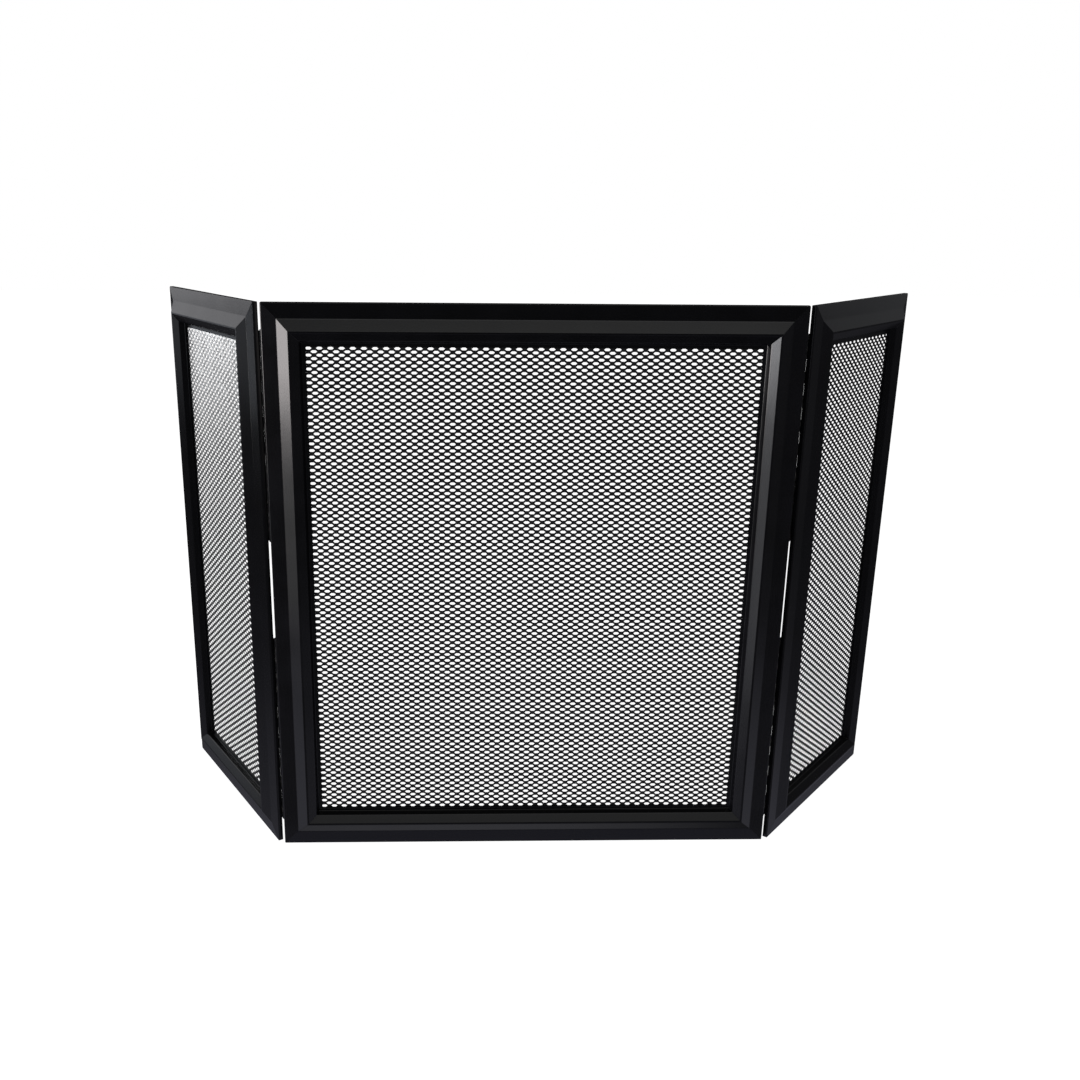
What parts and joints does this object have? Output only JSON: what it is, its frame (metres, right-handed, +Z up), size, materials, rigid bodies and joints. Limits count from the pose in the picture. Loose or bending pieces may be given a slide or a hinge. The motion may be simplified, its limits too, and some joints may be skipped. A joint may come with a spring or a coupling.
{
  "type": "fireplace screen",
  "caption": "Folding fireplace screen with mitred moulded-steel frames, expanded steel mesh, and hinged side wings that fold behind the centre panel.",
  "frame": {"origin": "on the floor, at the middle of the narrow bottom face of the centre panel's bottom rail", "axes": "+Z up, +X to the right along the centre panel as seen from the front, +Y backwards; the front of the centre panel faces -Y and the wings are folded towards +Y"},
  "size_m": [1.1034, 0.3181, 0.762],
  "materials": {
    "frame_paint": "satin black enamel",
    "mesh_paint": "matt to satin black enamel",
    "strip_paint": "satin black enamel",
    "hinge_paint": "semi-gloss black enamel, rubbed at the joints",
    "rivet_paint": "semi-gloss black"
  },
  "bodies": {
    "centre_panel": {"centre_bottom_rail": "frame_paint", "centre_bottom_strip": "strip_paint", "centre_left_stile": "frame_paint", "centre_left_strip": "strip_paint", "centre_mesh": "mesh_paint", "centre_right_stile": "frame_paint", "centre_right_strip": "strip_paint", "centre_top_rail": "frame_paint", "centre_top_strip": "strip_paint", "left_lower_hinge_frame_leaf": "hinge_paint", "left_lower_hinge_frame_rivet_1": "rivet_paint", "left_lower_hinge_frame_rivet_2": "rivet_paint", "left_upper_hinge_frame_leaf": "hinge_paint", "left_upper_hinge_frame_rivet_1": "rivet_paint", "left_upper_hinge_frame_rivet_2": "rivet_paint", "right_lower_hinge_frame_leaf": "hinge_paint", "right_lower_hinge_frame_rivet_1": "rivet_paint", "right_lower_hinge_frame_rivet_2": "rivet_paint", "right_upper_hinge_frame_leaf": "hinge_paint", "right_upper_hinge_frame_rivet_1": "rivet_paint", "right_upper_hinge_frame_rivet_2": "rivet_paint"},
    "left_wing_panel": {"left_lower_hinge_pin": "hinge_paint", "left_lower_hinge_wing_leaf": "hinge_paint", "left_lower_hinge_wing_rivet_1": "rivet_paint", "left_lower_hinge_wing_rivet_2": "rivet_paint", "left_lower_hinge_wing_rivet_3": "rivet_paint", "left_upper_hinge_pin": "hinge_paint", "left_upper_hinge_wing_leaf": "hinge_paint", "left_upper_hinge_wing_rivet_1": "rivet_paint", "left_upper_hinge_wing_rivet_2": "rivet_paint", "left_upper_hinge_wing_rivet_3": "rivet_paint", "left_wing_bottom_rail": "frame_paint", "left_wing_bottom_strip": "strip_paint", "left_wing_left_stile": "frame_paint", "left_wing_left_strip": "strip_paint", "left_wing_mesh": "mesh_paint", "left_wing_right_stile": "frame_paint", "left_wing_right_strip": "strip_paint", "left_wing_top_rail": "frame_paint", "left_wing_top_strip": "strip_paint"},
    "right_wing_panel": {"right_lower_hinge_pin": "hinge_paint", "right_lower_hinge_wing_leaf": "hinge_paint", "right_lower_hinge_wing_rivet_1": "rivet_paint", "right_lower_hinge_wing_rivet_2": "rivet_paint", "right_lower_hinge_wing_rivet_3": "rivet_paint", "right_upper_hinge_pin": "hinge_paint", "right_upper_hinge_wing_leaf": "hinge_paint", "right_upper_hinge_wing_rivet_1": "rivet_paint", "right_upper_hinge_wing_rivet_2": "rivet_paint", "right_upper_hinge_wing_rivet_3": "rivet_paint", "right_wing_bottom_rail": "frame_paint", "right_wing_bottom_strip": "strip_paint", "right_wing_left_stile": "frame_paint", "right_wing_left_strip": "strip_paint", "right_wing_mesh": "mesh_paint", "right_wing_right_stile": "frame_paint", "right_wing_right_strip": "strip_paint", "right_wing_top_rail": "frame_paint", "right_wing_top_strip": "strip_paint"}
  },
  "joints": [
    {"name": "left_wing_fold", "type": "hinge", "parent": "centre_panel", "child": "left_wing_panel", "pos_m": [-0.347, 0.0057, 0.381], "axis": [0, 0, -1], "range_deg": [-68, 119]},
    {"name": "right_wing_fold", "type": "hinge", "parent": "centre_panel", "child": "right_wing_panel", "pos_m": [0.347, 0.0057, 0.381], "axis": [0, 0, 1], "range_deg": [-58, 129]}
  ]
}
